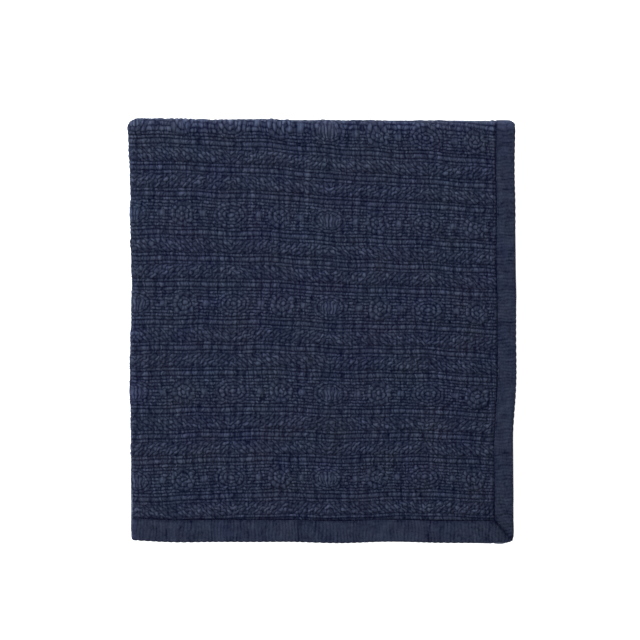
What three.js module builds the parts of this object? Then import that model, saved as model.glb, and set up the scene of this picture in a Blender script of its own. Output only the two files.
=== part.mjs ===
import * as THREE from 'three';

// A quilted throw with a bound edge, folded in quarters across and in thirds down, lying flat.
// Millimetres, +Z up, with the origin under the middle of the folded throw.
// The cloth is described flat, then folded. Flat, u runs along the length from the bound edge that
// ends up on the right, v runs across the width from the bound edge that ends up at the near side,
// and w is the distance out of the face from the middle of the cloth.

// The folded throw as it is seen from above: the width and depth of its top layer.
const FOLDED_WIDTH = 383;
const FOLDED_DEPTH = 421;

// The cloth and its spacing. A bundle is the four layers that the length is folded into.
const CLOTH_THICKNESS = 2.8;
const LAYER_GAP = 0.4;
const LAYER_PITCH = CLOTH_THICKNESS + LAYER_GAP;
const LENGTH_LAYERS = 4;
const WIDTH_LAYERS = 3;
const BUNDLE_GAP = 0.6;
const BUNDLE_HEIGHT = (LENGTH_LAYERS - 1) * LAYER_PITCH + CLOTH_THICKNESS;
const BUNDLE_PITCH = BUNDLE_HEIGHT + BUNDLE_GAP;
const STACK_HEIGHT = (WIDTH_LAYERS - 1) * BUNDLE_PITCH + BUNDLE_HEIGHT;

// How far a fold reaches past the centre that it turns about, on its outer face.
const LAYER_TURN_REACH = (LAYER_PITCH + CLOTH_THICKNESS) / 2;
const BUNDLE_TURN_REACH = (BUNDLE_PITCH + BUNDLE_HEIGHT) / 2;

// How far the layers beneath stick out past the top layer's edge.
const RIGHT_FOLD_PEEK = 1.2;
const RIGHT_EDGE_PEEK = 0.5;
const LEFT_FOLD_TUCK = 0.4;
const NEAR_FOLD_PEEK = 2;
const FAR_EDGE_TUCK = 1.5;

// The binding: a strip wrapped round the raw edge, over a panel pressed thin beneath it. The end
// strips run across the cloth, on the right and beneath it, and the side strips run along it.
const END_BINDING = 17.5;
const SIDE_BINDING = 21;
const BINDING_WALL = 0.6;
const PIECE_GAP = 0.3;
const PRESSED_HALF = CLOTH_THICKNESS / 2 - BINDING_WALL - PIECE_GAP;
const NOSE_LENGTH = 1.1;
const NOSE_HALF = 0.9;
const NOSE_DRAW = 0.1;
const SEAM_SLOPE = 3;
const MITRE_GAP = 0.22;

// Steps along each run and round each fold.
const LENGTH_RUN_STEPS = 3;
const LENGTH_TURN_STEPS = 4;
const WIDTH_RUN_STEPS = 5;
const WIDTH_TURN_STEPS = 8;

// The quilting of the top face. It repeats across at each medallion and away from the near side at
// each row of medallions. The rows lean a little more the further they are from the near side, and
// they draw together towards it. MIDDLE_LINES is where the rows from level 0 on start.
const MEDALLION_REPEAT = 97;
const MEDALLION_AXIS = 186.5;
const MEDALLION = { halfWidth: 17, halfHeight: 12, rise: 0.9 };
const CLUSTER = { halfWidth: 11, halfHeight: 11, rise: 0.6 };
const ROW_REPEAT = 87;
const FIRST_REPEAT = -2;
const LAST_REPEAT = 2;
const BEYOND_ROWS = 1000;
const ROW_LEAN = 0.00022;
const LEVEL_ROW = 80;
const MIDDLE_LINES = 191.8;
const ROW_SCALE = 0.976;
const ROW_DRAW = 0.00012;
const COLUMNS_A_REPEAT = 20;
const RELIEF_MARGIN = 2.4;
const RELIEF_FADE = 5;
const LEAF_RISE = 0.6;
const LEAF_DIP = -0.2;
const GROUND_RISE = 0.1;
const LINE_DIP = -0.8;

// One repeat of quilting, from the middle of one line band up: at is the distance from the start.
const QUILT_ROWS = [
  { at: 0, form: 'lines', lean: 0 },
  { at: 8.5, form: 'leaf', lean: 0 },
  { at: 16.5, form: 'leaf', lean: 1 },
  { at: 25.1, form: 'lines', lean: 0 },
  { at: 31.5, form: 'medallions', lean: 0 },
  { at: 39.5, form: 'medallions', lean: 0 },
  { at: 47.5, form: 'medallions', lean: 0 },
  { at: 55.5, form: 'medallions', lean: 0 },
  { at: 61.9, form: 'lines', lean: 0 },
  { at: 70.5, form: 'leaf', lean: 1 },
  { at: 78.5, form: 'leaf', lean: 0 },
];
const MEDALLION_CENTRE = 43.5;

// How the sides of the stack wander: reach is how far a side moves out, length is one wave along
// the side, rise is one wave up the stack, and start is where the wave begins.
const SIDE_WAVES = [
  { side: 'left', reach: 0.9, length: 800, rise: 90, start: 0.59 },
  { side: 'left', reach: 0.7, length: 240, rise: 60, start: 0.83 },
  { side: 'right', reach: 0.8, length: 800, rise: 190, start: 0.81 },
  { side: 'right', reach: 0.7, length: 200, rise: 45, start: 0.51 },
  { side: 'near', reach: 0.7, length: 480, rise: 70, start: 0.7 },
  { side: 'near', reach: 0.2, length: 250, rise: 50, start: 0.2 },
  { side: 'far', reach: 0.8, length: 900, rise: 80, start: 0.13 },
  { side: 'far', reach: 0.2, length: 260, rise: 60, start: 0.4 },
];

// The soft roll of the top, as a share of the height.
const ROLL_WAVES = [
  { reach: 0.005, lengthX: 520, lengthY: 460, start: 0.1 },
  { reach: 0.003, lengthX: -380, lengthY: 600, start: 0.6 },
];

// A strip folded back and forth between stops, which are places along its first run: its start,
// the centre of each turn, and its end. Each run lies pitch below the one before.
function makeFold(stops, pitch) {
  const runs = [];
  for (let k = 0; k < stops.length - 1; k += 1) {
    runs.push(Math.abs(stops[k + 1] - stops[k]));
  }
  const turn = Math.PI * pitch / 2;
  const total = runs.reduce((sum, run) => sum + run, 0) + (runs.length - 1) * turn;
  return { stops, runs, pitch, turn, total };
}

// The place of the strip's middle at a distance along it, and which way its face looks there.
function pointOnFold(fold, distance) {
  let rest = distance;
  let k = 0;
  while (k < fold.runs.length - 1 && rest > fold.runs[k] + fold.turn) {
    rest -= fold.runs[k] + fold.turn;
    k += 1;
  }
  const way = k % 2 === 0 ? 1 : -1;
  if (rest <= fold.runs[k] || k === fold.runs.length - 1) {
    return { along: fold.stops[k] + way * rest, up: -k * fold.pitch, faceAlong: 0, faceUp: way };
  }
  const angle = (rest - fold.runs[k]) / fold.turn * Math.PI;
  const radius = fold.pitch / 2;
  return {
    along: fold.stops[k + 1] + way * Math.sin(angle) * radius,
    up: -(k + 0.5) * fold.pitch + Math.cos(angle) * radius,
    faceAlong: Math.sin(angle),
    faceUp: way * Math.cos(angle),
  };
}

// The distances along a folded strip where its mesh has a line: the ends of the runs, steps along
// them and round the turns, and the two lines of the seam beside the binding at each end.
function foldLines(fold, bindingWidth, runSteps, turnSteps) {
  const seam = [bindingWidth + PIECE_GAP, bindingWidth + PIECE_GAP + SEAM_SLOPE];
  const lines = [0, ...seam];
  let start = 0;
  fold.runs.forEach((run, k) => {
    for (let step = 1; step <= runSteps; step += 1) {
      lines.push(start + run * step / runSteps);
    }
    start += run;
    if (k < fold.runs.length - 1) {
      for (let step = 1; step <= turnSteps; step += 1) {
        lines.push(start + fold.turn * step / turnSteps);
      }
      start += fold.turn;
    }
  });
  lines.push(fold.total - seam[0], fold.total - seam[1]);
  return lines.sort((a, b) => a - b);
}

const LEFT_TURN = FOLDED_WIDTH - LAYER_TURN_REACH;
const RIGHT_TURN = LAYER_TURN_REACH - RIGHT_FOLD_PEEK;
const FAR_TURN = FOLDED_DEPTH - BUNDLE_TURN_REACH;
const NEAR_TURN = BUNDLE_TURN_REACH - NEAR_FOLD_PEEK;

const lengthFold = makeFold(
  [0, LEFT_TURN, RIGHT_TURN, LEFT_TURN - LEFT_FOLD_TUCK, -RIGHT_EDGE_PEEK],
  LAYER_PITCH,
);
const widthFold = makeFold([0, FAR_TURN, NEAR_TURN, FOLDED_DEPTH - FAR_EDGE_TUCK], BUNDLE_PITCH);
const lengthLines = foldLines(lengthFold, END_BINDING, LENGTH_RUN_STEPS, LENGTH_TURN_STEPS);
const widthLines = foldLines(widthFold, SIDE_BINDING, WIDTH_RUN_STEPS, WIDTH_TURN_STEPS);

function turns(count) {
  return 2 * Math.PI * count;
}

// How far a side of the stack moves out, at a place along it and a height.
function sideDrift(side, along, height) {
  let drift = 0;
  for (const wave of SIDE_WAVES) {
    if (wave.side === side) {
      drift += wave.reach * Math.sin(turns(along / wave.length + height / wave.rise + wave.start));
    }
  }
  return drift;
}

// The unevenness of the stack. Its underside stays flat.
function settle(x, y, z) {
  const across = x / FOLDED_WIDTH + 0.5;
  const away = y / FOLDED_DEPTH + 0.5;
  let roll = 0;
  for (const wave of ROLL_WAVES) {
    roll += wave.reach * Math.sin(turns(x / wave.lengthX + y / wave.lengthY + wave.start));
  }
  return new THREE.Vector3(
    x + across * sideDrift('right', y, z) - (1 - across) * sideDrift('left', y, z),
    y + away * sideDrift('far', x, z) - (1 - away) * sideDrift('near', x, z),
    z * (1 + roll),
  );
}

// Where a point of the flat cloth lies once it is folded: first along its length, then across.
function foldedPoint(u, v, w) {
  const layer = pointOnFold(lengthFold, u);
  const bundle = pointOnFold(widthFold, v);
  const lift = layer.up + w * layer.faceUp + (LENGTH_LAYERS - 1) * LAYER_PITCH / 2;
  const x = FOLDED_WIDTH / 2 - layer.along - w * layer.faceAlong;
  const y = bundle.along + lift * bundle.faceAlong - FOLDED_DEPTH / 2;
  const z = bundle.up + lift * bundle.faceUp + STACK_HEIGHT - BUNDLE_HEIGHT / 2;
  return settle(x, y, z);
}

// A closed skin in the making: its points, and triangles between them.
class Skin {
  constructor() {
    this.points = [];
    this.triangles = [];
  }

  // Adds a point of the cloth. at is its place along the line that it is stitched by.
  point(u, v, w, at) {
    this.points.push(foldedPoint(u, v, w));
    return { id: this.points.length - 1, u, v, at };
  }

  // Fills the strip between two lines of points. key names what the lines are matched by.
  stitch(first, second, key) {
    let i = 0;
    let j = 0;
    while (i < first.length - 1 || j < second.length - 1) {
      const firstEnds = i === first.length - 1;
      const secondEnds = j === second.length - 1;
      const nextFirst = firstEnds ? Infinity : first[i][key] + first[i + 1][key];
      const nextSecond = secondEnds ? Infinity : second[j][key] + second[j + 1][key];
      if (nextFirst <= nextSecond) {
        this.triangles.push([first[i].id, first[i + 1].id, second[j].id]);
        i += 1;
      } else {
        this.triangles.push([first[i].id, second[j + 1].id, second[j].id]);
        j += 1;
      }
    }
  }

  // The finished solid, facing outward.
  geometry() {
    let volume = 0;
    for (const [a, b, c] of this.triangles) {
      volume += this.points[a].dot(this.points[b].clone().cross(this.points[c])) / 6;
    }
    const order = volume > 0 ? [0, 1, 2] : [0, 2, 1];
    const geometry = new THREE.BufferGeometry();
    geometry.setFromPoints(this.points);
    geometry.setIndex(this.triangles.flatMap((triangle) => order.map((k) => triangle[k])));
    geometry.computeVertexNormals();
    return geometry;
  }
}

// Half of the panel's thickness: full in the open, and pressed thin under the binding.
function panelHalf(u, v) {
  const fromEnds = Math.min(u, lengthFold.total - u) - END_BINDING;
  const fromSides = Math.min(v, widthFold.total - v) - SIDE_BINDING;
  const open = Math.min(fromEnds, fromSides) > PIECE_GAP + SEAM_SLOPE / 2;
  return open ? CLOTH_THICKNESS / 2 : PRESSED_HALF;
}

// A soft mound with an oval outline: 1 at its middle, and 0 at its edge and beyond.
function mound(across, away, shape) {
  const far = Math.hypot(across / shape.halfWidth, away / shape.halfHeight);
  return far < 1 ? shape.rise * (1 - far * far) : 0;
}

// The height of the quilting over the face, at a column and a row of its mesh.
function quiltRise(column, row) {
  const half = COLUMNS_A_REPEAT / 2;
  const fromAxis = Math.abs(((column % COLUMNS_A_REPEAT) + COLUMNS_A_REPEAT + half)
    % COLUMNS_A_REPEAT - half);
  if (row.form === 'lines') {
    return LINE_DIP;
  }
  if (row.form === 'leaf') {
    return (fromAxis + row.lean) % 2 === 0 ? LEAF_RISE : LEAF_DIP;
  }
  const across = fromAxis * MEDALLION_REPEAT / COLUMNS_A_REPEAT;
  const away = row.at - MEDALLION_CENTRE;
  const cluster = mound(MEDALLION_REPEAT / 2 - across, away, CLUSTER);
  return GROUND_RISE + mound(across, away, MEDALLION) + cluster;
}

// Where the row of quilting at a level lies on the flat cloth, at a distance along it.
function rowPlace(u, level) {
  const undrawn = (1 - Math.sqrt(1 - 4 * ROW_DRAW * level)) / (2 * ROW_DRAW);
  const straight = MIDDLE_LINES + ROW_SCALE * undrawn;
  return straight - ROW_LEAN * (straight - LEVEL_ROW) * (FOLDED_WIDTH / 2 - u);
}

// The columns of raised points that quilt the top face inside a window of its mesh. Each column
// starts and ends on a level line beside the window's edge, and the quilting fades out to them.
function quiltColumns(skin, window) {
  const step = MEDALLION_REPEAT / COLUMNS_A_REPEAT;
  const first = Math.ceil((window.u0 + RELIEF_MARGIN - MEDALLION_AXIS) / step);
  const last = Math.floor((window.u1 - RELIEF_MARGIN - MEDALLION_AXIS) / step);
  const surface = CLOTH_THICKNESS / 2;
  const columns = [];
  for (let column = first; column <= last; column += 1) {
    const u = MEDALLION_AXIS + column * step;
    const points = [skin.point(u, window.v0 + RELIEF_MARGIN, surface, -BEYOND_ROWS)];
    for (let repeat = FIRST_REPEAT; repeat <= LAST_REPEAT; repeat += 1) {
      QUILT_ROWS.forEach((row, index) => {
        const v = rowPlace(u, repeat * ROW_REPEAT + row.at);
        const inside = Math.min(u - window.u0, window.u1 - u, v - window.v0, window.v1 - v);
        const fade = Math.min((inside - RELIEF_MARGIN) / RELIEF_FADE, 1);
        if (Math.min(v - window.v0, window.v1 - v) > 2 * RELIEF_MARGIN) {
          const w = surface + fade * quiltRise(column, row);
          points.push(skin.point(u, v, w, repeat * QUILT_ROWS.length + index));
        }
      });
    }
    points.push(skin.point(u, window.v1 - RELIEF_MARGIN, surface, BEYOND_ROWS));
    columns.push(points);
  }
  return columns;
}

// The quilted panel, one closed sheet: its face with the raised quilting where it lies on top, its
// plain back, and the rim between them.
function quiltedPanel() {
  const skin = new Skin();
  const lines = { u: lengthLines, v: widthLines };
  const seam = PIECE_GAP + SEAM_SLOPE;
  const window = {
    u0: END_BINDING + seam,
    u1: lengthFold.runs[0],
    v0: SIDE_BINDING + seam,
    v1: widthFold.runs[0],
  };
  const near = (a, b) => Math.abs(a - b) < 1e-6;
  const i0 = lines.u.findIndex((u) => near(u, window.u0));
  const i1 = lines.u.findIndex((u) => near(u, window.u1));
  const j0 = lines.v.findIndex((v) => near(v, window.v0));
  const j1 = lines.v.findIndex((v) => near(v, window.v1));
  const inWindow = (i, j) => i > i0 && i < i1 && j > j0 && j < j1;
  const face = lines.u.map((u, i) => lines.v.map(
    (v, j) => (inWindow(i, j) ? null : skin.point(u, v, panelHalf(u, v))),
  ));
  const back = lines.u.map((u) => lines.v.map((v) => skin.point(u, v, -panelHalf(u, v))));
  for (let i = 0; i < lines.u.length - 1; i += 1) {
    skin.stitch(back[i + 1], back[i], 'v');
    if (i >= i0 && i < i1) {
      skin.stitch(face[i].slice(0, j0 + 1), face[i + 1].slice(0, j0 + 1), 'v');
      skin.stitch(face[i].slice(j1), face[i + 1].slice(j1), 'v');
    } else {
      skin.stitch(face[i], face[i + 1], 'v');
    }
  }
  const columns = quiltColumns(skin, window);
  for (let k = 0; k < columns.length - 1; k += 1) {
    skin.stitch(columns[k], columns[k + 1], 'at');
  }
  const lastColumn = columns[columns.length - 1];
  const nearEnds = columns.map((column) => column[0]);
  const farEnds = columns.map((column) => column[column.length - 1]);
  skin.stitch(face[i0].slice(j0, j1 + 1), columns[0], 'v');
  skin.stitch(lastColumn, face[i1].slice(j0, j1 + 1), 'v');
  skin.stitch(nearEnds, face.slice(i0, i1 + 1).map((line) => line[j0]), 'u');
  skin.stitch(face.slice(i0, i1 + 1).map((line) => line[j1]), farEnds, 'u');
  const rowOf = (side, j) => side.map((line) => line[j]);
  const lastU = lines.u.length - 1;
  const lastV = lines.v.length - 1;
  skin.stitch(back[0], face[0], 'v');
  skin.stitch(face[lastU], back[lastU], 'v');
  skin.stitch(rowOf(face, 0), rowOf(back, 0), 'u');
  skin.stitch(rowOf(back, lastV), rowOf(face, lastV), 'u');
  return skin.geometry();
}

// The binding's section, from its edge on the face round to its edge on the back. inset is the
// distance in from the panel's raw edge, and the outer and inner walls are given side by side.
function bindingSection(width) {
  const outer = CLOTH_THICKNESS / 2;
  const inner = outer - BINDING_WALL;
  const nose = -PIECE_GAP - BINDING_WALL;
  const shoulder = nose + NOSE_LENGTH;
  const half = [
    { outerInset: width, outerW: outer, innerInset: width, innerW: inner },
    { outerInset: shoulder, outerW: outer, innerInset: -PIECE_GAP, innerW: inner },
    { outerInset: nose, outerW: NOSE_HALF, innerInset: -PIECE_GAP, innerW: inner / 2 },
  ];
  const mirrored = half.map((pair) => ({ ...pair, outerW: -pair.outerW, innerW: -pair.innerW }));
  return [...half, ...mirrored.reverse()];
}

// One strip of binding, along a whole side of the flat cloth, with ends mitred to its neighbours,
// which are otherWidth wide. place turns an inset from the raw edge and a distance along it into
// u and v.
function bindingStrip(lines, width, otherWidth, place) {
  const skin = new Skin();
  const length = lines[lines.length - 1];
  const clear = otherWidth + PIECE_GAP + SEAM_SLOPE / 2;
  const between = lines.filter((line) => line > clear && line < length - clear);
  const wall = (inset, w) => {
    const mitre = inset * otherWidth / width + MITRE_GAP;
    const stations = [mitre, ...between, length - mitre];
    return stations.map((along, station) => {
      const [u, v] = place(inset, along);
      return skin.point(u, v, w, station);
    });
  };
  const section = bindingSection(width);
  const outer = section.map((pair) => wall(pair.outerInset, pair.outerW));
  const inner = section.map((pair) => wall(pair.innerInset, pair.innerW));
  const last = section.length - 1;
  for (let k = 0; k < last; k += 1) {
    skin.stitch(outer[k], outer[k + 1], 'at');
    skin.stitch(inner[k + 1], inner[k], 'at');
  }
  skin.stitch(inner[0], outer[0], 'at');
  skin.stitch(outer[last], inner[last], 'at');
  // The inner wall's points are matched a little towards the nose, so that no triangle of a mitred
  // end cuts across its corners.
  const end = (walls, station, draw) => walls.map(
    (line, k) => ({ id: line[station].id, at: k + draw * (last / 2 - k) }),
  );
  const farEnd = between.length + 1;
  skin.stitch(end(outer, 0, 0), end(inner, 0, NOSE_DRAW), 'at');
  skin.stitch(end(inner, farEnd, NOSE_DRAW), end(outer, farEnd, 0), 'at');
  return skin.geometry();
}

const quiltedCotton = new THREE.MeshStandardMaterial({ color: 0x2b3247, roughness: 0.9, metalness: 0 });
const bindingCotton = new THREE.MeshStandardMaterial({ color: 0x2d3347, roughness: 0.85, metalness: 0 });

function piece(name, geometry, material) {
  const mesh = new THREE.Mesh(geometry, material);
  mesh.name = name;
  return mesh;
}

const U = lengthFold.total;
const V = widthFold.total;
const endStrip = (place) => bindingStrip(widthLines, END_BINDING, SIDE_BINDING, place);
const sideStrip = (place) => bindingStrip(lengthLines, SIDE_BINDING, END_BINDING, place);
const throwPieces = [
  piece('quilted_panel', quiltedPanel(), quiltedCotton),
  piece('binding_right', endStrip((inset, along) => [inset, along]), bindingCotton),
  piece('binding_near', sideStrip((inset, along) => [along, inset]), bindingCotton),
  piece('binding_right_under', endStrip((inset, along) => [U - inset, along]), bindingCotton),
  piece('binding_far_under', sideStrip((inset, along) => [along, V - inset]), bindingCotton),
];

// The whole is moved so that the middle of its outline is over the origin.
const outline = new THREE.Box3();
for (const mesh of throwPieces) {
  mesh.geometry.computeBoundingBox();
  outline.union(mesh.geometry.boundingBox);
}
const middle = outline.getCenter(new THREE.Vector3());
const foldedThrow = new THREE.Group();
foldedThrow.add(...throwPieces);
foldedThrow.position.set(-middle.x, -middle.y, -outline.min.z);
foldedThrow.updateMatrixWorld(true);

export default foldedThrow;
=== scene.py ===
"""A quilted throw with a bound edge, folded in quarters across and in thirds down, seen from above.

The cloth is described flat and then folded, as in the solid model. Flat, u runs along the length
from the bound edge that ends up on the right, v runs across the width from the bound edge that ends
up at the near side, and w is the distance out of the face from the middle of the cloth. Sizes are in
millimetres up to the point where a mesh is made.
"""

import math

import bpy
import numpy as np
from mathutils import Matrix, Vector


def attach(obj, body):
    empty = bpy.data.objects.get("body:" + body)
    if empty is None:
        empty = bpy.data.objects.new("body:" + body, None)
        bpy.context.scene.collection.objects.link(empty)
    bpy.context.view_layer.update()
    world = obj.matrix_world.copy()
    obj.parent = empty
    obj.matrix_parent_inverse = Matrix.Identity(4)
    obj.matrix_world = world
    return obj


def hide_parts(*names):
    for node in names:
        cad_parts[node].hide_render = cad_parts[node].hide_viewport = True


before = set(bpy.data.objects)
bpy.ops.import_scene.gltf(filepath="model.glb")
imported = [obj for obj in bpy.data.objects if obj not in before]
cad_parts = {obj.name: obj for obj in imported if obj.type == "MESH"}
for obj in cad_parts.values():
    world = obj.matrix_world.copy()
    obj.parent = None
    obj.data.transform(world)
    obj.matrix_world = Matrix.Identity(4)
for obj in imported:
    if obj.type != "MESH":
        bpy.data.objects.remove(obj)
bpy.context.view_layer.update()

MM = 0.001

# The folded throw as it is seen from above: the width and depth of its top layer.
FOLDED_WIDTH = 383
FOLDED_DEPTH = 421

# The cloth and its spacing. A bundle is the four layers that the length is folded into.
CLOTH_THICKNESS = 2.8
LAYER_PITCH = CLOTH_THICKNESS + 0.4
LENGTH_LAYERS = 4
WIDTH_LAYERS = 3
BUNDLE_HEIGHT = (LENGTH_LAYERS - 1) * LAYER_PITCH + CLOTH_THICKNESS
BUNDLE_PITCH = BUNDLE_HEIGHT + 0.6
STACK_HEIGHT = (WIDTH_LAYERS - 1) * BUNDLE_PITCH + BUNDLE_HEIGHT
LAYER_TURN_REACH = (LAYER_PITCH + CLOTH_THICKNESS) / 2
BUNDLE_TURN_REACH = (BUNDLE_PITCH + BUNDLE_HEIGHT) / 2

# How far the layers beneath stick out past the top layer's edge.
RIGHT_FOLD_PEEK = 1.2
RIGHT_EDGE_PEEK = 0.5
LEFT_FOLD_TUCK = 0.4
NEAR_FOLD_PEEK = 2
FAR_EDGE_TUCK = 1.5

# The binding, over a panel pressed thin beneath it. The end strips run across the cloth, on the
# right and beneath it, and the side strips run along it.
END_BINDING = 17.5
SIDE_BINDING = 21
BINDING_WALL = 0.6
PIECE_GAP = 0.3
PRESSED_HALF = CLOTH_THICKNESS / 2 - BINDING_WALL - PIECE_GAP
SEAM_SLOPE = 3
MITRE_GAP = 0.22

# The quilting. Its rows lean a little more the further they are from the near side, and they draw
# together towards it. MIDDLE_LINES is where one band of lines lies, on the throw's centre line.
MEDALLION_REPEAT = 97
MEDALLION_AXIS = 184
ROW_LEAN = 0.00022
LEVEL_ROW = 80
MIDDLE_LINES = 191.1
ROW_SCALE = 0.9857
ROW_DRAW = 0.00007

# How much lower the rows run at the sides of the top layer, and the rounds in which the rows'
# wander is worked out backwards.
LEFT_SAG = 4.5
RIGHT_SAG = 2.5
WANDER_ROUNDS = 5

# The bands of one repeat of quilting, going towards the near side: medallions, lines, leaves,
# lines, leaves, lines.
MEDALLION_BAND = 25.4
LINE_BAND = 11.4
LEAF_BAND = 13.7
LEAF_A = MEDALLION_BAND + LINE_BAND
LEAF_B = LEAF_A + LEAF_BAND + LINE_BAND
ROW_REPEAT = LEAF_B + LEAF_BAND + LINE_BAND

# Rows in a band of lines and in the medallions' ground, and the puffs along them.
LINE_ROWS = 3
GROUND_ROWS = 8
BEAD = 4.2

# The leaves: their pitch, how far they lean for each millimetre down, and the puffs in each.
LEAF_PITCH = MEDALLION_REPEAT / 20
LEAF_SLANT = 0.85
LEAF_BEADS = 3

# The fine ticks and the columns that run down through all the rows.
TICK_PITCH = 2.9
COLUMN_PITCH = 6.2

# Medallions, by turns with a fan and with rings inside. Their radii are shares of the whole.
MEDALLION_HALF_WIDTH = 17.5
MEDALLION_HALF_HEIGHT = 12.4
FAN_RADIUS = 0.52
FAN_PITCH = 3.4
FAN_RINGS = [
    # inner radius, outer radius, cells
    (FAN_RADIUS, 0.76, 14),
    (0.76, 1, 19),
]
EYE_RADIUS = 0.22
EYE_RINGS = [
    # inner radius, outer radius, cells
    (EYE_RADIUS, 0.48, 7),
    (0.48, 0.74, 13),
    (0.74, 1, 20),
]

# The clusters of cells midway between medallions, and the patches on both sides of each medallion.
CLUSTER_EYE = 2.4
CLUSTER_RADIUS = 12.2
CLUSTER_RINGS = [
    # inner radius, outer radius, cells
    (CLUSTER_EYE, 7, 7),
    (7, CLUSTER_RADIUS, 13),
]
PATCH_CENTRE = 27.5
PATCH_HALF_WIDTH = 3.6
PATCH_HALF_HEIGHT = 3.4

# How the sides of the stack wander: reach is how far a side moves out, length is one wave along
# the side, rise is one wave up the stack, and start is where the wave begins.
SIDE_WAVES = [
    # side, reach, length, rise, start
    ("left", 0.9, 800, 90, 0.59),
    ("left", 0.7, 240, 60, 0.83),
    ("right", 0.8, 800, 190, 0.81),
    ("right", 0.7, 200, 45, 0.51),
    ("near", 0.7, 480, 70, 0.70),
    ("near", 0.2, 250, 50, 0.20),
    ("far", 0.8, 900, 80, 0.13),
    ("far", 0.2, 260, 60, 0.40),
]

# Shorter ripples of the sides, in which the layers go together.
SIDE_RIPPLES = [
    # side, reach, length, rise, start
    ("left", 0.7, 330, 300, 0.48),
    ("left", 0.4, 115, 300, 0.32),
    ("left", 0.3, 150, 300, 0.59),
    ("right", 1.1, 400, 300, 0.12),
    ("right", 0.4, 150, 300, 0.49),
    ("right", 0.3, 88, 300, 0.77),
    ("near", 0.7, 150, 300, 0.05),
    ("near", 0.6, 240, 300, 0.46),
    ("near", 0.3, 88, 300, 0.90),
    ("near", 0.35, 470, 300, 0.84),
    ("far", 0.3, 88, 300, 0.85),
    ("far", 0.3, 115, 300, 0.54),
    ("far", 0.25, 55, 300, 0.23),
]

# The corners are rounded: each is drawn in by this much, fading out over this distance from it.
CORNER_DRAW = 1.5
CORNER_REACH = 6

# The stack thins out towards the fold on the left: by this share, over this distance.
LEFT_THINNING = 0.045
LEFT_THINNING_REACH = 9

# The soft roll of the top, as a share of the height.
ROLL_WAVES = [
    # reach, length along x, length along y, start
    (0.005, 520, 460, 0.1),
    (0.003, -380, 600, 0.6),
]

# The mesh of the cloth: steps along its runs and round its turns, and how far from each turn it
# has lines too.
RUN_STEP = 40
NEAR_TURN_STEPS = (4, 9)
LAYER_TURN_STEPS = 6
BUNDLE_TURN_STEPS = 12

# The finer mesh of the quilting that lies on top: its pitch, its margin, and how far from its edge
# the relief fades out. Its rows turn from the edges' way to the quilting's over the last two.
QUILT_COLUMN = 1.4
QUILT_ROW = 1.25
QUILT_MARGIN = 0.8
QUILT_FADE = 2.5
SIDE_FADE = 8
FAR_FADE = 26

# How much more the puffs stand out round a turn, as a share.
TURN_SWELL = 0.8

# The binding's ribs, crinkles and puckers, and how far from a mitre its mesh has lines.
RIB_PITCH = 3.4
RIB_RISE = 0.12
RIB_STEPS = 4
CRINKLE_PITCH = 7.5
PUCKER_PITCH = 6.3
PUCKER_REACH = 0.6
MITRE_STEPS = (0, 0.5, 1.2, 2.6)

# The navy cloth's colour deep in a seam, darkened as painted shade, and on the crest of a puff, lightened
# as a painted highlight, and the pitch of the weave.
PAINTED_SEAM_SHADE = (0.001, 0.002, 0.013)
PAINTED_CREST_LIGHT = (0.053, 0.067, 0.114)
THREAD = 0.62

# The cotton's surface: matt, with a soft bluish sheen at a glancing view.
CLOTH_ROUGHNESS = 0.8
CLOTH_SHINE = 0.02
SHEEN = 0.35
SHEEN_ROUGHNESS = 0.3
SHEEN_TINT = (0.6, 0.72, 0.95, 1)

# How much broad light and dark spots there are on the quilted cloth and on the binding.
QUILTED_BLOTCHES = 0.1
BINDING_BLOTCHES = 0.32

# The floor's half side in metres, its shade, roughness and glow, the light all round, and the
# lamps, which all look at the throw.
FLOOR_REACH = 6.0
FLOOR_SHADE = 0.92
FLOOR_ROUGHNESS = 0.9
FLOOR_GLOW = 0.8
ROUND_LIGHT = 0.33
LAMPS = [
    # name, place in metres, size in metres, watts
    ("overhead", (0.0, 0.2, 2.2), 1.6, 13),
    ("beyond", (-0.5, 2.1, 0.7), 1.2, 75),
    ("beside", (-2.0, -0.8, 0.6), 1.2, 45),
]

# The photograph's frame: its side in pixels, its scale, and the throw's centre in it. The camera's
# sensor is in millimetres. Its height above the throw and how far it sees are in metres.
PHOTO_SIDE = 640
MM_A_PIXEL = 0.9962
THROW_CENTRE = (321.95, 331.35)
SENSOR = 36
CAMERA_HEIGHT = 3.0
CAMERA_REACH = 50


class Fold:
    """A strip folded back and forth between stops: its start, the centre of each turn, its end."""

    def __init__(self, stops, pitch):
        self.stops = stops
        self.pitch = pitch
        self.runs = [abs(b - a) for a, b in zip(stops, stops[1:])]
        self.turn = math.pi * pitch / 2
        self.total = sum(self.runs) + (len(self.runs) - 1) * self.turn

    def start_of(self, run):
        """The distance along the strip at which a run starts."""
        return sum(self.runs[:run]) + run * self.turn

    def place(self, distance):
        """Where the strip's middle is, along and up, and the direction that its face looks in."""
        along = np.zeros_like(distance)
        up = np.zeros_like(distance)
        face_along = np.zeros_like(distance)
        face_up = np.zeros_like(distance)
        last = len(self.runs) - 1
        for k, run in enumerate(self.runs):
            way = 1 if k % 2 == 0 else -1
            rest = distance - self.start_of(k)
            here = rest >= 0 if k else np.ones_like(rest, bool)
            along = np.where(here, self.stops[k] + way * rest, along)
            up = np.where(here, -k * self.pitch, up)
            face_along = np.where(here, 0, face_along)
            face_up = np.where(here, way, face_up)
            if k < last:
                angle = (rest - run) / self.turn * math.pi
                turning = here & (angle > 0)
                radius = self.pitch / 2
                along = np.where(turning, self.stops[k + 1] + way * np.sin(angle) * radius, along)
                up = np.where(turning, -(k + 0.5) * self.pitch + np.cos(angle) * radius, up)
                face_along = np.where(turning, np.sin(angle), face_along)
                face_up = np.where(turning, way * np.cos(angle), face_up)
        return along, up, face_along, face_up


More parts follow.
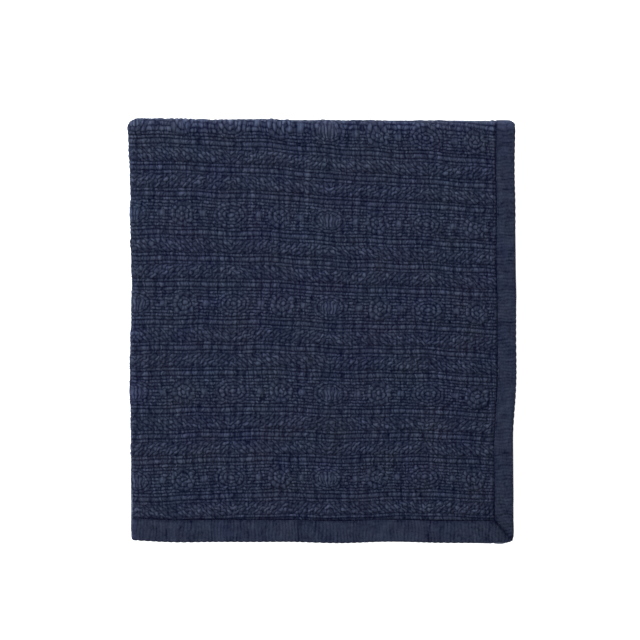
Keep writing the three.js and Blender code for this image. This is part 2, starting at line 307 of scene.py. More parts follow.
LEFT_TURN = FOLDED_WIDTH - LAYER_TURN_REACH
RIGHT_TURN = LAYER_TURN_REACH - RIGHT_FOLD_PEEK
FAR_TURN = FOLDED_DEPTH - BUNDLE_TURN_REACH
NEAR_TURN = BUNDLE_TURN_REACH - NEAR_FOLD_PEEK
length_fold = Fold(
    [0, LEFT_TURN, RIGHT_TURN, LEFT_TURN - LEFT_FOLD_TUCK, -RIGHT_EDGE_PEEK], LAYER_PITCH
)
width_fold = Fold([0, FAR_TURN, NEAR_TURN, FOLDED_DEPTH - FAR_EDGE_TUCK], BUNDLE_PITCH)


def turns(count):
    return 2 * math.pi * count


def side_drift(side, along, height):
    """How far a side of the stack moves out."""
    return sum(
        reach * np.sin(turns(along / length + height / rise + start))
        for name, reach, length, rise, start in SIDE_WAVES + SIDE_RIPPLES
        if name == side
    )


def settle(x, y, z):
    """The unevenness of the stack. Its underside stays flat."""
    across = x / FOLDED_WIDTH + 0.5
    away = y / FOLDED_DEPTH + 0.5
    roll = sum(
        reach * np.sin(turns(x / length_x + y / length_y + start))
        for reach, length_x, length_y, start in ROLL_WAVES
    )
    moved_x = x + across * side_drift("right", y, z) - (1 - across) * side_drift("left", y, z)
    moved_y = y + away * side_drift("far", x, z) - (1 - away) * side_drift("near", x, z)
    from_corner = FOLDED_WIDTH / 2 - abs(moved_x) + FOLDED_DEPTH / 2 - abs(moved_y)
    draw = CORNER_DRAW * np.clip(1 - from_corner / CORNER_REACH, 0, 1) ** 2
    moved_x = moved_x - np.sign(moved_x) * draw
    moved_y = moved_y - np.sign(moved_y) * draw
    from_left = np.maximum(x + FOLDED_WIDTH / 2, 0)
    thinning = LEFT_THINNING * np.clip(1 - from_left / LEFT_THINNING_REACH, 0, 1) ** 2
    return np.stack([moved_x, moved_y, z * (1 + roll - thinning)], axis=-1)


def folded(u, v, w):
    """Where points of the flat cloth lie once it is folded: along its length, then across."""
    along_u, up_u, face_along_u, face_up_u = length_fold.place(u)
    along_v, up_v, face_along_v, face_up_v = width_fold.place(v)
    lift = up_u + w * face_up_u + (LENGTH_LAYERS - 1) * LAYER_PITCH / 2
    x = FOLDED_WIDTH / 2 - along_u - w * face_along_u
    y = along_v + lift * face_along_v - FOLDED_DEPTH / 2
    z = up_v + lift * face_up_v + STACK_HEIGHT - BUNDLE_HEIGHT / 2
    return settle(x, y, z)


class Wire:
    """A number that a material works out, so that one formula serves numpy and shader nodes."""

    def __init__(self, tree, socket):
        self.tree = tree
        self.socket = socket

    def math(self, operation, *others):
        node = self.tree.nodes.new("ShaderNodeMath")
        node.operation = operation
        for slot, value in zip(node.inputs, (self, *others)):
            if isinstance(value, Wire):
                self.tree.links.new(value.socket, slot)
            else:
                slot.default_value = value
        return Wire(self.tree, node.outputs[0])

    def __add__(self, other):
        return self.math("ADD", other)

    __radd__ = __add__

    def __sub__(self, other):
        return self.math("SUBTRACT", other)

    def __rsub__(self, other):
        return self.math("MULTIPLY", -1).math("ADD", other)

    def __mul__(self, other):
        return self.math("MULTIPLY", other)

    __rmul__ = __mul__

    def __truediv__(self, other):
        return self.math("DIVIDE", other)

    def __abs__(self):
        return self.math("ABSOLUTE")


def sine(x):
    return x.math("SINE") if isinstance(x, Wire) else np.sin(x)


def power(x, exponent):
    return x.math("POWER", exponent) if isinstance(x, Wire) else np.power(x, exponent)


def wrap(x, period):
    """What is left of x over whole periods, from 0 to the period."""
    return x.math("FLOORED_MODULO", period) if isinstance(x, Wire) else np.mod(x, period)


def above(x, limit):
    """1 where x is more than the limit, and 0 elsewhere."""
    return x.math("GREATER_THAN", limit) if isinstance(x, Wire) else np.where(x > limit, 1.0, 0.0)


def least(x, y):
    return x.math("MINIMUM", y) if isinstance(x, Wire) else np.minimum(x, y)


def angle_of(y, x):
    return y.math("ARCTAN2", x) if isinstance(y, Wire) else np.arctan2(y, x)


def distance_of(x, y):
    return power(x * x + y * y, 0.5)


def mixed(low, high, share):
    return low + (high - low) * share


def ridges(x, pitch, roundness=0.6):
    """Rounded ridges side by side: 0 in the stitched valleys between them and 1 along the tops."""
    return power(abs(sine(x * (math.pi / pitch))), roundness)


def between(x, low, high):
    """1 where x is from low to high, and 0 elsewhere."""
    return above(x, low) * (1 - above(x, high))


def whole(x):
    """The whole number below x."""
    return x - wrap(x, 1)


def scatter(x):
    """A number from 0 to 1 for a whole number, with no pattern to be seen from one to the next."""
    return wrap(sine(x * 7.13 + 0.7) * 43.7, 1)


def share_past(x, start, reach):
    """How far x is from start towards start + reach: 0 before it and 1 after it."""
    inside = x - start
    return least(inside * above(inside, 0) / reach, 1)


def wander(across, level):
    """The small wander of the quilting from straight columns and rows, and its sag at the sides."""
    left_sag = LEFT_SAG * power(share_past(across * -1, 128, 62), 1.3)
    right_sag = RIGHT_SAG * share_past(across, 100, 60) * share_past(60 - level, 0, 60)
    return (
        0.9 * sine(level / 19 + 1.3) + 0.5 * sine(across / 13 + level / 29),
        left_sag + right_sag + 0.6 * sine(across / 27 + 0.4) + 0.35 * sine(across / 8.3 + level / 17),
    )


def crinkle(across, level):
    """How far the puckers push each other out of line."""
    return (
        0.7 * sine(level * 0.83 + 1.9 * sine(across * 0.31)) + 0.55 * sine(across * 0.57 + level * 0.41),
        0.6 * sine(across * 0.71 + 1.7 * sine(level * 0.37)) + 0.4 * sine(across * 1.13 - level * 0.29),
    )


def quilted_place(u, v):
    """Where a place on the flat cloth is in the quilting: across from an axis, and its level."""
    lean = ROW_LEAN * (FOLDED_WIDTH / 2 - u)
    straight = (v - LEVEL_ROW * lean) / (1 - lean)
    level = (straight - MIDDLE_LINES) / ROW_SCALE
    level = level * (1 - ROW_DRAW * level)
    across = MEDALLION_AXIS - u
    aside, up = wander(across, level)
    return across + aside, level + up


def cloth_place(across, level):
    """The flat place that has this place in the quilting, which is quilted_place turned round."""
    plain_across, plain_level = across, level
    for _ in range(WANDER_ROUNDS):
        aside, up = wander(plain_across, plain_level)
        plain_across, plain_level = across - aside, level - up
    u = MEDALLION_AXIS - plain_across
    undrawn = (1 - np.sqrt(1 - 4 * ROW_DRAW * plain_level)) / (2 * ROW_DRAW)
    straight = MIDDLE_LINES + ROW_SCALE * undrawn
    return u, straight - ROW_LEAN * (FOLDED_WIDTH / 2 - u) * (straight - LEVEL_ROW)


def beads(x, line, row, length, least_puff):
    """Puffs along a row of stitching. Rows of one line have their puffs abreast."""
    shifted = x / length + scatter(line) + 0.25 * sine(x * 0.9 + line * 2.3) + 0.2 * sine(x * 0.23 + row)
    share = mixed(0.5, 1, scatter(whole(shifted) + row * 31))
    return mixed(least_puff, 1, ridges(shifted, 1, 0.85)) * share


def cell_ring(radius, angle, inner, outer, count):
    """A ring of puffs between two radii."""
    across = ridges(radius - inner, outer - inner, 0.82)
    turn = angle * (count / (2 * math.pi)) + 0.2 * sine(angle * 3 + inner)
    round_it = ridges(turn, 1) * mixed(0.4, 0.95, scatter(whole(turn) + count))
    return across * mixed(0.1, 1, round_it) * between(radius, inner, outer)


def cell_rings(radius, angle, rings):
    return sum(cell_ring(radius, angle, *ring) for ring in rings)


# Each of the next functions gives motifs of the quilting: their puffs, which also paint shade and light
# into the colour, their height and where they are. a is across from the axis, from_axis is the distance
# from the nearest medallions with a fan, t is down one repeat, across and away are from the nearest
# medallion's centre, and push is how far the puckers move a place.


def line_bands(a, t, push, repeat):
    """Bands of lines: a row of beads between two thin rows."""
    for band, start in enumerate((MEDALLION_BAND, LEAF_B - LINE_BAND, LEAF_B + LEAF_BAND)):
        share = (t - start + 0.15 * push[1]) / LINE_BAND
        row = LINE_ROWS * (share + 0.054 * sine(share * 2 * math.pi))
        number = whole(row)
        puffs = ridges(row, 1, 1) * beads(a + push[0], band * 5 + repeat * 3, number, BEAD, 0.2)
        puffs = puffs * mixed(0.95, 1, between(row, 1, 2))
        yield puffs, -0.75 + 0.8 * puffs, between(t, start, start + LINE_BAND)


def leaf_bands(from_axis, t, push, repeat):
    """Two bands of leaves that lean opposite ways and turn over at each medallion's axis."""
    for start, slant in ((LEAF_A, -LEAF_SLANT), (LEAF_B, LEAF_SLANT)):
        down = t - start + 0.8 * push[1]
        stroke = (from_axis + slant * down) / LEAF_PITCH
        number = whole(stroke) + repeat * 7
        cut = down / LEAF_BAND * LEAF_BEADS + scatter(number + start)
        puffs = ridges(stroke, 1) * mixed(0.2, 1, ridges(cut, 1))
        puffs = puffs * mixed(0.45, 1.05, scatter(number + 13 * whole(cut)))
        puffs = puffs * ridges(t - start, LEAF_BAND, 0.25)
        yield puffs, -0.5 + 1.1 * puffs, between(t, start, start + LEAF_BAND)


def ground_rows(a, t, push, repeat):
    """The ground that the medallions lie on: rows of puffs."""
    row = (t + 0.3 * push[1]) / MEDALLION_BAND * GROUND_ROWS
    line = whole(row)
    puffs = ridges(row, 1, 1) * beads(a + push[0], line + repeat * 11, line, BEAD, 0.1)
    yield puffs, -0.55 + 0.65 * puffs, between(t, -1, MEDALLION_BAND)


def medallions(across, away, from_axis):
    """Domed ovals, by turns with a fan and with rings inside."""
    scaled_x = across / MEDALLION_HALF_WIDTH
    scaled_y = away / MEDALLION_HALF_HEIGHT
    radius = distance_of(scaled_x, scaled_y)
    angle = angle_of(scaled_y, scaled_x)
    fan = ridges(across / (1 - away * 0.035), FAN_PITCH) * mixed(0.5, 1, ridges(away + 4, 7))
    fan = 0.85 * fan * between(radius, -1, FAN_RADIUS) + cell_rings(radius, angle, FAN_RINGS)
    eye = 0.9 * ridges(radius + EYE_RADIUS, 2 * EYE_RADIUS, 0.9) * between(radius, -1, EYE_RADIUS)
    eye = eye + cell_rings(radius, angle, EYE_RINGS)
    puffs = mixed(fan, eye, above(from_axis, MEDALLION_REPEAT / 2))
    dome = 1 - radius * radius
    yield puffs, -0.45 + 0.3 * dome + 0.7 * puffs, between(radius, -1, 1)


def clusters(across, away, push):
    """Round clusters of cells midway between the medallions."""
    beside = MEDALLION_REPEAT / 2 - abs(across)
    radius = distance_of(beside, away) + 0.8 * push[0]
    angle = angle_of(away, beside)
    eye = 0.85 * ridges(radius + CLUSTER_EYE, 2 * CLUSTER_EYE) * between(radius, -9, CLUSTER_EYE)
    puffs = eye + cell_rings(radius, angle, CLUSTER_RINGS)
    inside = between(radius, -9, CLUSTER_RADIUS) * between(abs(away), -1, MEDALLION_BAND / 2)
    yield puffs, -0.45 + 0.95 * puffs, inside


def patches(across, away):
    """A small square puff on each side of a medallion."""
    aside = abs(abs(across) - PATCH_CENTRE)
    puffs = ridges(aside + PATCH_HALF_WIDTH, 2 * PATCH_HALF_WIDTH, 0.4)
    puffs = 0.8 * puffs * ridges(away + PATCH_HALF_HEIGHT, 2 * PATCH_HALF_HEIGHT, 0.4)
    inside = between(aside, -1, PATCH_HALF_WIDTH) * between(abs(away), -1, PATCH_HALF_HEIGHT)
    yield puffs, -0.45 + 0.7 * puffs, inside


def quilting(u, v):
    """The quilting at a place on the flat cloth: its puffs, from 0 in a seam to 1, which paint shade into
    the seams and light onto the crests, and its height.
    """
    a, level = quilted_place(u, v)
    push = crinkle(a, level)
    down_rows = LEAF_B - LINE_BAND / 2 - level
    t = wrap(down_rows, ROW_REPEAT)
    repeat = whole(down_rows / ROW_REPEAT)
    pairs = wrap(a + push[0] + MEDALLION_REPEAT, 2 * MEDALLION_REPEAT)
    from_axis = abs(pairs - MEDALLION_REPEAT)
    half = MEDALLION_REPEAT / 2
    across = wrap(a + half, MEDALLION_REPEAT) - half + 0.5 * push[0]
    away = t - MEDALLION_BAND / 2 + 0.5 * push[1]
    motifs = [
        *line_bands(a, t, push, repeat),
        *leaf_bands(from_axis, t, push, repeat),
        *ground_rows(a, t, push, repeat),
        *medallions(across, away, from_axis),
        *clusters(across, away, push),
        *patches(across, away),
    ]
    puffs, height = 0, -0.5
    for motif_puffs, motif_height, inside in motifs:
        puffs = mixed(puffs, motif_puffs, inside)
        height = mixed(height, motif_height, inside)

    # The sunk seam beside the binding, with painted shade: the colour darkens towards the seam.
    from_ends = least(u, length_fold.total - u) - END_BINDING
    from_sides = least(v, width_fold.total - v) - SIDE_BINDING
    out_of_painted_seam_shade = least(abs(least(from_ends, from_sides)) / SEAM_SLOPE, 1)

    # Fine columns and ticks that run down through all the rows.
    straighter = a + 0.35 * push[0]
    column = ridges(straighter + 1.5 * sine(a * 0.29 + level * 0.05), COLUMN_PITCH, 0.8)
    tick = ridges(straighter + 0.3 * sine(level * 0.7), TICK_PITCH, 0.8)
    puffs = puffs * mixed(0.66, 1.07, tick) * mixed(0.52, 1.2, column)
    return puffs * out_of_painted_seam_shade, height


class Skin:
    """A mesh of cloth in the making: its flat points, and the faces between them."""

    def __init__(self):
        self.flat = []
        self.count = 0
        self.faces = []

    def points(self, u, v, w, uv=None):
        """Adds points of the flat cloth, and gives the numbers that they go by."""
        u, v, w = np.broadcast_arrays(*(np.asarray(value, float) for value in (u, v, w)))
        painted = np.stack([u, v], axis=-1) if uv is None else uv
        ids = np.arange(self.count, self.count + u.size).reshape(u.shape)
        self.count += u.size
        self.flat.append((u.ravel(), v.ravel(), w.ravel(), painted.reshape(-1, 2)))
        return ids

    def sheet(self, ids):
        """Faces over a grid of points, looking the way that makes them face out of the cloth."""
        corners = (ids[:-1, :-1], ids[:-1, 1:], ids[1:, 1:], ids[1:, :-1])
        self.faces.extend(np.stack(corners, axis=-1).reshape(-1, 4).tolist())

    def stitch(self, first, first_at, second, second_at):
        """Fills the strip between two lines of points, which are matched by where they are."""
        i, j = 0, 0
        while i < len(first) - 1 or j < len(second) - 1:
            next_first = first_at[i] + first_at[i + 1] if i < len(first) - 1 else math.inf
            next_second = second_at[j] + second_at[j + 1] if j < len(second) - 1 else math.inf
            if next_first <= next_second:
                self.faces.append((first[i], first[i + 1], second[j]))
                i += 1
            else:
                self.faces.append((first[i], second[j + 1], second[j]))
                j += 1

    def places(self):
        """Where the points are once the cloth is folded, in millimetres."""
        u, v, w = (np.concatenate(part) for part in list(zip(*self.flat))[:3])
        return folded(u, v, w)

    def object(self, name, material, origin):
        """The folded mesh in metres, with the flat cloth as its UV map and no unused points."""
        used = sorted({point for face in self.faces for point in face})
        number = dict(zip(used, range(len(used))))
        places = (self.places()[used] - origin) * MM
        painted = np.concatenate([part[3] for part in self.flat])[used] * MM
        mesh = bpy.data.meshes.new(name)
        mesh.from_pydata(places.tolist(), [], [[number[point] for point in face] for face in self.faces])
        layer = mesh.uv_layers.new(name="cloth")
        vertex = np.zeros(len(mesh.loops), np.int32)
        mesh.loops.foreach_get("vertex_index", vertex)
        layer.data.foreach_set("uv", painted[vertex].ravel())
        mesh.shade_smooth()
        mesh.materials.append(material)
        piece = bpy.data.objects.new(name, mesh)
        bpy.context.scene.collection.objects.link(piece)
        return piece


def panel_half(u, v):
    """Half of the panel's thickness: full in the open, and pressed thin under the binding."""
    from_ends = np.minimum(u, length_fold.total - u) - END_BINDING
    from_sides = np.minimum(v, width_fold.total - v) - SIDE_BINDING
    share = np.clip((np.minimum(from_ends, from_sides) - PIECE_GAP) / SEAM_SLOPE, 0, 1)
    return mixed(PRESSED_HALF, CLOTH_THICKNESS / 2, share)


def lines_along(fold, binding, turn_steps):
    """Where a folded strip's mesh has lines: along the runs, round the turns and at the seams."""
    seam = (binding + PIECE_GAP, binding + PIECE_GAP + SEAM_SLOPE)
    lines = {0, *seam, *(fold.total - line for line in seam)}
    for k, run in enumerate(fold.runs):
        steps = round(run / RUN_STEP)
        start = fold.start_of(k)
        lines.update(start + run * step / steps for step in range(1, steps + 1))
        lines.update(start + near for near in NEAR_TURN_STEPS)
        lines.update(start + run - near for near in NEAR_TURN_STEPS)
        if k < len(fold.runs) - 1:
            lines.update(start + run + fold.turn * step / turn_steps for step in range(1, turn_steps + 1))
    return np.array(sorted(lines))


def mesh_levels():
    """The levels at which the quilting's mesh has rows: the edges of the bands, and between them."""
    edges = [0, MEDALLION_BAND, LEAF_A, LEAF_A + LEAF_BAND, LEAF_B, LEAF_B + LEAF_BAND, ROW_REPEAT]
    one_repeat = np.concatenate([
        np.linspace(start, end, round((end - start) / QUILT_ROW), endpoint=False)
        for start, end in zip(edges, edges[1:])
    ])
    starts = LEAF_B - LINE_BAND / 2 - ROW_REPEAT * np.arange(-3, 4)
    return np.sort((starts[:, None] - one_repeat).ravel())


def quilt_window(skin, window):
    """The raised quilting of the face inside a window, on rows that follow the stitching.

    It gives each row's points, and where they are across and away.
    """
    u0, u1, v0, v1 = window
    count = round((u1 - u0) / QUILT_COLUMN)
    columns = np.linspace(u0 + QUILT_MARGIN, u1 - QUILT_MARGIN, count + 1)
    inside_u = np.minimum(columns - columns[0], columns[-1] - columns)
    low, high = v0 + QUILT_MARGIN, v1 - QUILT_MARGIN
    middle = MEDALLION_AXIS - (u0 + u1) / 2
    rows = []
    for level in mesh_levels():
        plain_v = cloth_place(middle, level)[1]
        if low + QUILT_ROW / 2 < plain_v < high - QUILT_ROW / 2:
            near_share = min(1, (plain_v - low) / SIDE_FADE) * min(1, (high - plain_v) / FAR_FADE)
            quilt_u, quilt_v = cloth_place(MEDALLION_AXIS - columns, np.full_like(columns, level))
            u = mixed(columns, quilt_u, near_share * np.clip(inside_u / SIDE_FADE, 0, 1))
            rows.append((u, mixed(plain_v, quilt_v, near_share), plain_v))
    rows = [(columns, columns * 0 + low, low), *rows, (columns, columns * 0 + high, high)]
    made = []
    for u, v, plain_v in rows:
        inside = np.minimum(inside_u, min(plain_v - low, high - plain_v))
        height = quilting(u, v)[1] * np.clip(inside / QUILT_FADE, 0, 1)
        for place, fold in ((u, length_fold), (v, width_fold)):
            turned = np.clip((place - fold.runs[0]) / fold.turn, 0, 1)
            height = height * (1 + TURN_SWELL * np.sin(turned * math.pi))
        made.append((skin.points(u, v, panel_half(u, v) + height), v[[0, -1]]))
    skin.sheet(np.stack([ids for ids, _ in made]).T)
    return columns.tolist(), made


def quilted_panel():
    """The quilted panel, one closed sheet: face, back and rim."""
    skin = Skin()
    u = lines_along(length_fold, END_BINDING, LAYER_TURN_STEPS)
    v = lines_along(width_fold, SIDE_BINDING, BUNDLE_TURN_STEPS)
    grid_u, grid_v = np.meshgrid(u, v, indexing="ij")
    half = panel_half(grid_u, grid_v)
    face = skin.points(grid_u, grid_v, half)
    back = skin.points(grid_u, grid_v, -half)
    seam = PIECE_GAP + SEAM_SLOPE
    window = (
        END_BINDING + seam,
        length_fold.runs[0] + length_fold.turn,
        SIDE_BINDING + seam,
        width_fold.runs[0] + width_fold.turn,
    )
    i0, i1 = (int(np.abs(u - value).argmin()) for value in window[:2])
    j0, j1 = (int(np.abs(v - value).argmin()) for value in window[2:])
    skin.sheet(face[: i0 + 1])
    skin.sheet(face[i1:])
    skin.sheet(face[i0 : i1 + 1, : j0 + 1])
    skin.sheet(face[i0 : i1 + 1, j1:])
    skin.sheet(back[::-1])
    columns, rows = quilt_window(skin, window)
    side_u = u[i0 : i1 + 1].tolist()
    side_v = v[j0 : j1 + 1].tolist()
    first = [ids[0] for ids, _ in rows], [ends[0] for _, ends in rows]
    last = [ids[-1] for ids, _ in rows], [ends[1] for _, ends in rows]
    skin.stitch(rows[0][0], columns, face[i0 : i1 + 1, j0], side_u)
    skin.stitch(face[i0 : i1 + 1, j1], side_u, rows[-1][0], columns)
    skin.stitch(face[i0, j0 : j1 + 1], side_v, *first)
    skin.stitch(*last, face[i1, j0 : j1 + 1], side_v)
    skin.sheet(np.stack([back[0], face[0]]))
    skin.sheet(np.stack([face[-1], back[-1]]))
    skin.sheet(np.stack([face[:, 0], back[:, 0]]))
    skin.sheet(np.stack([back[:, -1], face[:, -1]]))
    return skin


def binding_section(width):
    """The binding's section as outer and inner walls: inset from the raw edge, and w."""
    outer, inner = CLOTH_THICKNESS / 2, CLOTH_THICKNESS / 2 - BINDING_WALL
    edge = -BINDING_WALL - PIECE_GAP
    crown = [
        # inset, rise of the outer wall
        (width, -0.3), (width - 0.5, -0.1), (width - 1.3, 0), (width - 3, 0.08),
        (width - 6, 0.12), (width / 2, 0.1), (4.5, 0.04), (2, -0.03), (0.6, -0.12),
    ]
    half = [(inset, outer + rise, inset, inner) for inset, rise in crown]
    for step in range(1, 4):
        angle = step * math.pi / 8
        half.append((
            0.6 + (edge - 0.6) * math.sin(angle),
            (outer - 0.12) * math.cos(angle),
            -PIECE_GAP,
            inner * math.cos(angle),
        ))
    mirrored = [(a, -b, c, -d) for a, b, c, d in reversed(half)]
    return np.array([*half, (edge, 0, -PIECE_GAP, 0), *mirrored])


def binding_strip(fold, near_end, seen):
    """One strip of binding along a whole side of the flat cloth, with mitred ends.

    fold is the fold that its length follows, near_end says which raw edge it wraps, and seen is
    the distance along it that lies on top, which is ribbed.
    """
    is_end_strip = fold is width_fold
    width, other_width = (END_BINDING, SIDE_BINDING) if is_end_strip else (SIDE_BINDING, END_BINDING)
    clear = other_width + PIECE_GAP + SEAM_SLOPE
    coarse = lines_along(fold, other_width, BUNDLE_TURN_STEPS)
    ribs_end = max(seen, clear)
    ribbed = np.arange(clear, ribs_end, RIB_PITCH / RIB_STEPS)
    plain = coarse[(coarse > ribs_end) & (coarse < fold.total - clear)]
    lines = np.concatenate([ribbed, plain])
    section = binding_section(width)
    skin = Skin()
    walls = []
    for inset, w in ((section[:, 0], section[:, 1]), (section[:, 2], section[:, 3])):
        corner = inset * other_width / width + MITRE_GAP
        first = [corner + step for step in MITRE_STEPS]
        between_corners = [np.full_like(inset, line) for line in lines]
        last = [fold.total - line for line in reversed(first)]
        along = np.stack([*first, *between_corners, *last], axis=1)
        insets = np.repeat(inset[:, None], along.shape[1], axis=1)
        from_corner = along - other_width
        from_seam = (width - insets) * other_width / width
        ws = np.repeat(w[:, None], along.shape[1], axis=1)
        if not walls:
            flat_part = np.clip((insets - 0.5) / 2, 0, 1) * np.clip((width - 2 - insets) / 2, 0, 1)
            from_mitre = np.minimum(along, fold.total - along) - corner[:, None]
            pinch = np.clip(1 - from_mitre / 2, 0, 1) * (0.3 + 0.15 * np.sin(insets * 1.9))
            ribbing = RIB_RISE * (ridges(rib_place(from_corner, from_seam), RIB_PITCH) - 0.7)
            ws = ws + np.sign(ws) * (ribbing - pinch) * flat_part
            puckers = ridges(rib_place(from_corner, 9), PUCKER_PITCH) - 0.6
            insets = insets - PUCKER_REACH * puckers * np.clip((1.2 - insets) / 1.5, 0, 1)
        other_total = length_fold.total if is_end_strip else width_fold.total
        place = insets if near_end else other_total - insets
        u, v = (place, along) if is_end_strip else (along, place)
        walls.append(skin.points(u, v, ws, np.stack([from_corner, from_seam], axis=-1)))
    outer, inner = walls
    skin.sheet(outer)
    skin.sheet(inner[::-1])
    skin.sheet(np.stack([inner[0], outer[0]]))
    skin.sheet(np.stack([outer[-1], inner[-1]]))
    skin.sheet(np.stack([outer[:, 0], inner[:, 0]]))
    skin.sheet(np.stack([inner[:, -1], outer[:, -1]]))
    if is_end_strip != near_end:
        skin.faces = [face[::-1] for face in skin.faces]
    return skin


def cloth_material(name, blotches, pattern):
    """A matt cotton. pattern gives its puffs, which become painted shade and light in its colour, and its
    height in millimetres, over the flat cloth.

    blotches is how strong its broad light and dark spots are.
    """
    material = bpy.data.materials.new(name)
    material.use_nodes = True
    tree = material.node_tree
    tree.nodes.clear()
    new, link = tree.nodes.new, tree.links.new
    output = new("ShaderNodeOutputMaterial")
    shader = new("ShaderNodeBsdfPrincipled")
    link(shader.outputs[0], output.inputs[0])
    shader.inputs["Roughness"].default_value = CLOTH_ROUGHNESS
    shader.inputs["Specular IOR Level"].default_value = CLOTH_SHINE
    shader.inputs["Sheen Weight"].default_value = SHEEN
    shader.inputs["Sheen Roughness"].default_value = SHEEN_ROUGHNESS
    shader.inputs["Sheen Tint"].default_value = SHEEN_TINT
    flat = new("ShaderNodeUVMap")
    flat.uv_map = "cloth"
    parts = new("ShaderNodeSeparateXYZ")
    link(flat.outputs[0], parts.inputs[0])
    u = Wire(tree, parts.outputs[0]) / MM
    v = Wire(tree, parts.outputs[1]) / MM
    puffs, height = pattern(u, v)

    def noise(scale, detail=3):
        """Cloudy noise over the flat cloth, from about -1 to 1. scale is spots a metre."""
        node = new("ShaderNodeTexNoise")
        node.inputs["Scale"].default_value = scale
        node.inputs["Detail"].default_value = detail
        link(flat.outputs[0], node.inputs["Vector"])
        return (Wire(tree, node.outputs["Fac"]) - 0.5) * 2

    weave = ridges(u, THREAD) * mixed(0.6, 1, ridges(v, THREAD))
    grain = noise(110) * blotches + noise(450) * 0.3 + noise(1500) * 0.3
    # Painted shade and light: the colour runs from the painted seam shade to the painted crest light as
    # the puffs rise, with the weave and random grain on top.
    painted_light_and_grain = puffs * 0.92 + weave * 0.06 + grain - 0.02
    colour = new("ShaderNodeMix")
    colour.data_type = "RGBA"
    colour.clamp_factor = True
    link(painted_light_and_grain.socket, colour.inputs["Factor"])
    colour.inputs["A"].default_value = (*PAINTED_SEAM_SHADE, 1)
    colour.inputs["B"].default_value = (*PAINTED_CREST_LIGHT, 1)
    mottle = new("ShaderNodeHueSaturation")
    link((noise(22, 2) * 0.022 + 0.5).socket, mottle.inputs["Hue"])
    link((noise(31, 2) * 0.18 + 1).socket, mottle.inputs["Saturation"])
    link((noise(45) * 0.12 + 1).socket, mottle.inputs["Value"])
    link(colour.outputs["Result"], mottle.inputs["Color"])
    link(mottle.outputs[0], shader.inputs["Base Color"])

    relief = height * 0.5 + weave * 0.05 + noise(900) * 0.05
    bump = new("ShaderNodeBump")
    bump.inputs["Strength"].default_value = 1.0
    bump.inputs["Distance"].default_value = MM
    link(relief.socket, bump.inputs["Height"])
    link(bump.outputs[0], shader.inputs["Normal"])
    return material


def rib_place(along, inward):
    """Where along the ribs a place is: they bend a little and lie unevenly."""
    return along + 0.5 * sine(inward / 3.1 + along / 7) + 0.9 * sine(along / 11)


def ribs(along, outward):
    """The binding's uneven ribs and crinkles, square to the edge, and its mitred corner, with painted
    shade in the rib valleys, creases, puckers, mitre and along the inner edge.

    along is measured from the inner corner, and outward from the inner edge. The mitre is where
    they add up to nothing.
    """
    bent = rib_place(along, outward)
    number = whole(bent / RIB_PITCH)
    part = 0.5 + 0.5 * sine(outward * (0.2 + 0.3 * scatter(number + 7)) + 6 * scatter(number + 3))
    depth = mixed(0.35, 1, scatter(number)) * mixed(0.5, 1, part)
    rib = ridges(bent, RIB_PITCH)
    crinkle_at = (bent + 1.6 * sine(outward / 5 + 2)) / CRINKLE_PITCH + 0.22 * sine(bent * 0.31)
    creased = (1 - ridges(crinkle_at, 1, 0.5)) * scatter(whole(crinkle_at + 0.5) + 17)
    from_mitre = along + outward
    mitre = 1 - least(from_mitre / 1.8, 1)
    pucker = (1 - least(from_mitre / 6, 1)) * ridges(outward, 4.1)
    # Painted shade and light in the colour: lighter rib tops, and darker rib valleys, creases, puckers, a
    # strip along the inner edge by the seam, and the mitre.
    puffs = 0.38 + 0.45 * (rib - 0.7) * depth - 0.22 * creased - 0.25 * pucker
    puffs = puffs * mixed(0.5, 1, least(outward / 2.5, 1)) * mixed(1, 0.35, mitre)
    height = 0.22 * rib * depth - 0.35 * creased - 0.6 * mitre - 0.4 * pucker
    return puffs, height


def make_throw():
    """The panel and its bindings, folded together and centred over the origin."""
    quilted = cloth_material("quilted_cotton", QUILTED_BLOTCHES, quilting)
    plain = cloth_material("binding_cotton", BINDING_BLOTCHES, ribs)
    seen_u = length_fold.runs[0] + length_fold.turn
    seen_v = width_fold.runs[0] + width_fold.turn
    length, width = length_fold.total * MM, width_fold.total * MM
    end_flat = ((2 * END_BINDING + CLOTH_THICKNESS) * MM, width)
    side_flat = ((2 * SIDE_BINDING + CLOTH_THICKNESS) * MM, length)
    makes = [
        # node, slot, material, skin, flat size
        ("binding_right", "binding_cotton", plain, binding_strip(width_fold, True, seen_v), end_flat),
        ("binding_near", "binding_cotton", plain, binding_strip(length_fold, True, seen_u), side_flat),
        ("binding_right_under", "binding_cotton", plain, binding_strip(width_fold, False, 0), end_flat),
        ("binding_far_under", "binding_cotton", plain, binding_strip(length_fold, False, 0), side_flat),
        ("quilted_panel", "quilted_cotton", quilted, quilted_panel(), (width, length)),
    ]
    places = np.concatenate([make[3].places() for make in makes])
    low, high = places.min(axis=0), places.max(axis=0)
    origin = np.array([(low[0] + high[0]) / 2, (low[1] + high[1]) / 2, low[2]])
    for node, slot, material, skin, flat in makes:
        piece = skin.object("throw_" + node, material, origin)
        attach(piece, "root")
        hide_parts(node)


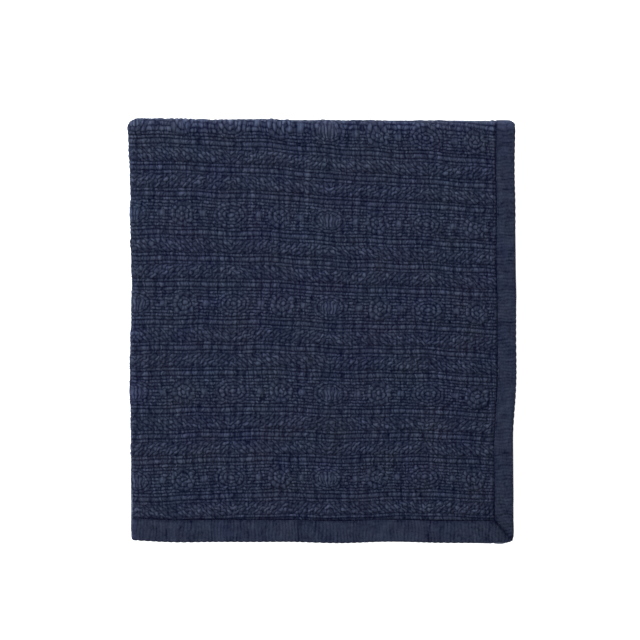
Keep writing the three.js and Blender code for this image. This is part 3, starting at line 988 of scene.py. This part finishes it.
def make_stage():
    """The pale floor, the soft light and the camera."""
    floor_mesh = bpy.data.meshes.new("floor")
    corners = [(x * FLOOR_REACH, y * FLOOR_REACH, 0) for x, y in ((-1, -1), (1, -1), (1, 1), (-1, 1))]
    floor_mesh.from_pydata(corners, [], [(0, 1, 2, 3)])
    floor = bpy.data.objects.new("floor", floor_mesh)
    bpy.context.scene.collection.objects.link(floor)
    paint = bpy.data.materials.new("floor_paint")
    paint.use_nodes = True
    shader = paint.node_tree.nodes["Principled BSDF"]
    shader.inputs["Base Color"].default_value = (FLOOR_SHADE, FLOOR_SHADE, FLOOR_SHADE, 1)
    shader.inputs["Roughness"].default_value = FLOOR_ROUGHNESS
    shader.inputs["Emission Color"].default_value = (1, 1, 1, 1)
    shader.inputs["Emission Strength"].default_value = FLOOR_GLOW
    floor_mesh.materials.append(paint)

    world = bpy.data.worlds.new("studio")
    world.use_nodes = True
    background = world.node_tree.nodes["Background"]
    background.inputs["Color"].default_value = (1, 1, 1, 1)
    background.inputs["Strength"].default_value = ROUND_LIGHT
    bpy.context.scene.world = world
    for name, place, size, watts in LAMPS:
        data = bpy.data.lights.new(name, "AREA")
        data.shape = "DISK"
        data.size = size
        data.energy = watts
        light = bpy.data.objects.new(name, data)
        light.location = place
        light.rotation_euler = (-Vector(place)).to_track_quat("-Z", "Y").to_euler()
        bpy.context.scene.collection.objects.link(light)

    camera_data = bpy.data.cameras.new("camera")
    camera_data.sensor_width = SENSOR
    camera_data.lens = SENSOR * CAMERA_HEIGHT / (PHOTO_SIDE * MM_A_PIXEL * MM)
    camera_data.clip_end = CAMERA_REACH
    camera = bpy.data.objects.new("camera", camera_data)
    centre_x = (PHOTO_SIDE / 2 - THROW_CENTRE[0]) * MM_A_PIXEL
    centre_y = (THROW_CENTRE[1] - PHOTO_SIDE / 2) * MM_A_PIXEL
    camera.location = (centre_x * MM, centre_y * MM, CAMERA_HEIGHT + STACK_HEIGHT * MM)
    bpy.context.scene.collection.objects.link(camera)
    bpy.context.scene.camera = camera
    bpy.context.scene.view_settings.view_transform = "Standard"


make_stage()
make_throw()
